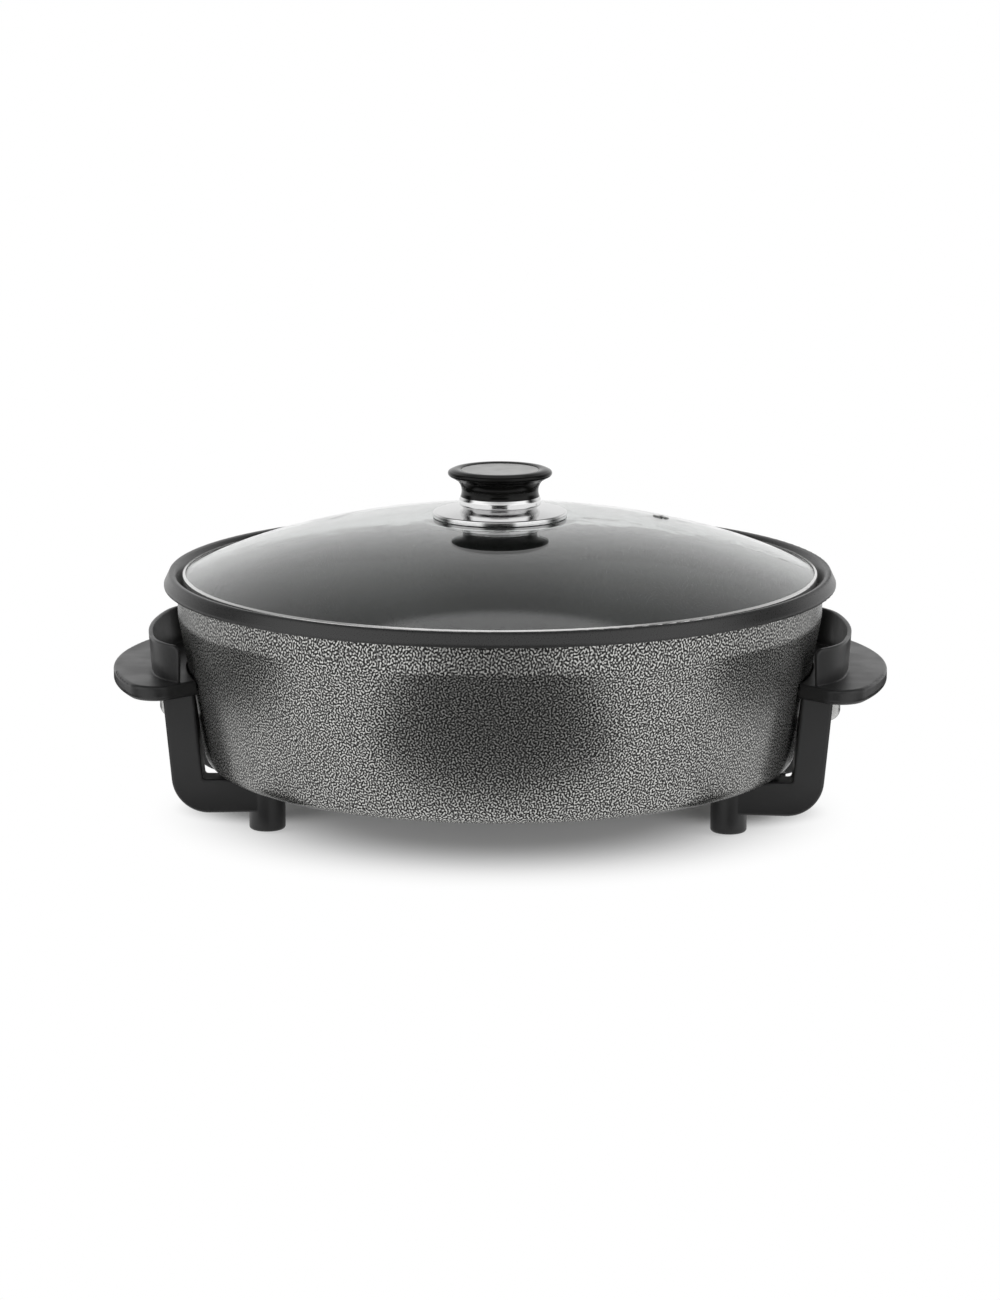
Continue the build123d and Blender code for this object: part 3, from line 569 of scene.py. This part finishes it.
def white_floor():
    """White paint that takes the pan's shadow, glows plain white further out and is clear from below."""
    made, tree, shader = start_material("white_floor", Roughness=0.9, Specular_IOR_Level=0.1)
    point = object_point(tree)
    dust = noise(tree, point, scale=3)
    colour = mix_colour(tree, dust, (0.87, 0.87, 0.87), (0.89, 0.89, 0.89))
    tree.links.new(colour, shader.inputs["Base Color"])
    seen = seen_rays(tree, "Is Camera Ray", "Is Glossy Ray", "Is Transmission Ray")
    share = chain(tree, "MULTIPLY", glow_under_pan(tree, point), glow_by_legs(tree, point), seen)
    from_above = mix_shaders(tree, share, shader, add_node(tree, "ShaderNodeEmission"))
    from_below = add_node(tree, "ShaderNodeNewGeometry").outputs["Backfacing"]
    clear = add_node(tree, "ShaderNodeBsdfTransparent")
    put_on_surface(tree, mix_shaders(tree, from_below, from_above, clear))
    return made


floor.data.materials.append(white_floor())
print(floor.data.materials[0].name, "has", len(floor.data.materials[0].node_tree.nodes), "nodes")

# %% [markdown]
# The background is white paper in the studio. As a world it would light the pan from all sides and wash the
# paint out, so the camera alone sees it at full strength, and everything else gets a dimmer light from it.

# %% White background
sky_light = 0.35
world = bpy.data.worlds.new("white_studio")
world.use_nodes = True
bpy.context.scene.world = world
sky_tree = world.node_tree
sky = sky_tree.nodes["Background"]
sky.inputs["Color"].default_value = (1, 1, 1, 1)
sky_level = ramp(sky_tree, seen_rays(sky_tree, "Is Camera Ray"), 0, 1, sky_light, 1.0, smooth=False)
sky_tree.links.new(sky_level, sky.inputs["Strength"])
world.cycles.sampling_method = "NONE"
print(world.name, "lights the pan with", sky_light)

# %% [markdown]
# Chrome, glass and paint look like what they mirror, which in a studio is soft boxes in a dark room. Lamps
# alone would show as hard patches, so a large dome that only mirror and glass rays meet is painted instead:
# soft white panels above the camera and at both sides of it, a bright wall behind the pan that dims with
# height, a narrow panel high above that wall, and dark between them. Angles are taken round the axis from
# the camera's side, and heights are the upward share of a direction. Each edge is a pair of values, from
# its start to its end.

# %% Dome panels
side_panel_start = (math.radians(20), math.radians(34))
side_panel_end = (math.radians(82), math.radians(104))
front_panel_start = (0.26, 0.38)
panel_top = (0.60, 0.80)
panel_glow = 1.25
back_wall_start = (math.radians(104), math.radians(140))
back_wall_heights = (0.25, 0.75)
back_wall_glow = (0.85, 0.28)
top_panel_start = (0.77, 0.82)
top_panel_end = (0.88, 0.94)
top_panel_side = (0.18, 0.40)
top_panel_glow = 0.9
dark_glow = 0.02


def dome_panels(tree):
    """The brightness of the painted studio in each direction."""
    toward = add_node(tree, "ShaderNodeVectorMath", {0: object_point(tree)}, operation="NORMALIZE")
    split = add_node(tree, "ShaderNodeSeparateXYZ", {"Vector": toward.outputs[0]})
    x, y, z = (split.outputs[axis] for axis in "XYZ")
    camera_side = math_node(tree, "MULTIPLY", y, -1.0)
    aside = math_node(tree, "ABSOLUTE", math_node(tree, "ARCTAN2", x, camera_side))

    beside = ramp(tree, aside, *side_panel_start)
    above = ramp(tree, z, *front_panel_start)
    start = math_node(tree, "MAXIMUM", beside, above)
    end = ramp(tree, aside, *side_panel_end, 1.0, 0.0)
    panels = chain(tree, "MULTIPLY", start, end, ramp(tree, z, *panel_top, panel_glow, 0.0))

    behind = ramp(tree, aside, *back_wall_start)
    dimmer = ramp(tree, z, *back_wall_heights, *back_wall_glow, smooth=False)
    back_wall = math_node(tree, "MULTIPLY", behind, dimmer)

    top_low = ramp(tree, z, *top_panel_start, 0.0, top_panel_glow)
    top_high = ramp(tree, z, *top_panel_end, 1.0, 0.0)
    top_width = ramp(tree, math_node(tree, "ABSOLUTE", x), *top_panel_side, 1.0, 0.0)
    top = chain(tree, "MULTIPLY", top_low, top_high, top_width, behind)
    return math_node(tree, "ADD", chain(tree, "MAXIMUM", panels, back_wall, top), dark_glow)


print("panels glow with", panel_glow, back_wall_glow, top_panel_glow)

# %% [markdown]
# The dome itself is a sphere far larger than the pan, so a direction alone says what is mirrored. It is
# hidden from the camera and from scattered light, which keep the white background, and it isn't sampled as
# a lamp.

# %% Studio dome
dome_radius = 8
dome_shape = bmesh.new()
bmesh.ops.create_uvsphere(dome_shape, u_segments=48, v_segments=24, radius=dome_radius)
dome = stage_piece("studio_dome", dome_shape)
dome_paint, dome_tree, _ = start_material("studio_dome")
dome_glow = add_node(dome_tree, "ShaderNodeEmission", {"Strength": dome_panels(dome_tree)})
put_on_surface(dome_tree, dome_glow)
dome_paint.cycles.emission_sampling = "NONE"
dome.data.materials.append(dome_paint)
for sight in ("camera", "diffuse", "shadow"):
    setattr(dome, "visible_" + sight, False)
print("dome faces", len(dome.data.polygons))

# %% [markdown]
# Two large soft boxes light the pan from the left and the right, and a wide one from above. A larger lamp
# gives a softer shadow, so they are wider than the pan. Mirrors don't show them, because the dome has
# panels for that.

# %% Lamps


def soft_box(name, place, aim, width, height, power):
    """A rectangular lamp at place, turned towards aim."""
    data = bpy.data.lights.new(name, "AREA")
    data.shape = "RECTANGLE"
    data.size = width
    data.size_y = height
    data.energy = power
    made = bpy.data.objects.new(name, data)
    made.location = place
    made.rotation_mode = "QUATERNION"
    made.rotation_quaternion = (Vector(aim) - Vector(place)).to_track_quat("-Z", "Y")
    for sight in ("glossy", "transmission"):
        setattr(made, "visible_" + sight, False)
    bpy.context.scene.collection.objects.link(made)


pan_middle = (0, 0, 0.12)
both_sides = (("left", -1), ("right", 1))
for side, sign in both_sides:
    place = (sign * 2.15, -1.5, 1.3)
    soft_box(side + "_box", place, aim=pan_middle, width=2.2, height=2.4, power=27)
soft_box("top_box", place=(0, 0.4, 2.4), aim=pan_middle, width=2.4, height=1.6, power=22)

# %% [markdown]
# Dark cloths on the table, hidden from the camera, draw painted dark reflections into shiny sides. The
# middle and the edges of the wall mirror the ones before the pan and beside it, so the paint is darker
# there. Small ones by the front feet paint shade into the lowest part of the wall near the legs, and two
# further back paint shade on its outermost edges. Only mirror rays meet them, so the table stays white.

# %% Dark cloths
cloth_lift = 0.4 * MM
cloth_paint, cloth_tree, cloth_shader = start_material("dark_reflection_cloth", Roughness=0.9, Specular_IOR_Level=0.0)
weave = noise(cloth_tree, object_point(cloth_tree), scale=400)
cloth_colour = mix_colour(cloth_tree, weave, (0.012, 0.012, 0.012), (0.022, 0.022, 0.022))
cloth_tree.links.new(cloth_colour, cloth_shader.inputs["Base Color"])


def lay_cloth(name, width, depth, x, y):
    """A dark sheet on the table that only mirror rays meet."""
    cloth = stage_piece(name, flat_sheet(width, depth), (x, y, cloth_lift))
    cloth.data.materials.append(cloth_paint)
    for sight in ("camera", "diffuse", "transmission", "shadow"):
        setattr(cloth, "visible_" + sight, False)


# Painted dark reflection: the middle of the wall mirrors these two in place of a dark room.
lay_cloth("front_cloth", width=0.37, depth=0.41, x=0, y=-0.475)
lay_cloth("far_cloth", width=0.90, depth=2.10, x=0, y=-2.03)
# Painted shade: the side and back ones darken the wall's edges by the grips, the foot ones its base by the
# legs.
for side, sign in both_sides:
    lay_cloth(side + "_cloth", width=0.30, depth=0.25, x=sign * 0.50, y=-0.05)
    lay_cloth(side + "_foot_shade_cloth", width=0.08, depth=0.05, x=sign * 0.175, y=-0.115)
    lay_cloth(side + "_back_shade_cloth", width=0.30, depth=0.50, x=sign * 0.37, y=0.33)

# %% [markdown]
# Colours are shown as they are, with the plain view transform.

# %% Finish
bpy.context.scene.view_settings.view_transform = "Standard"
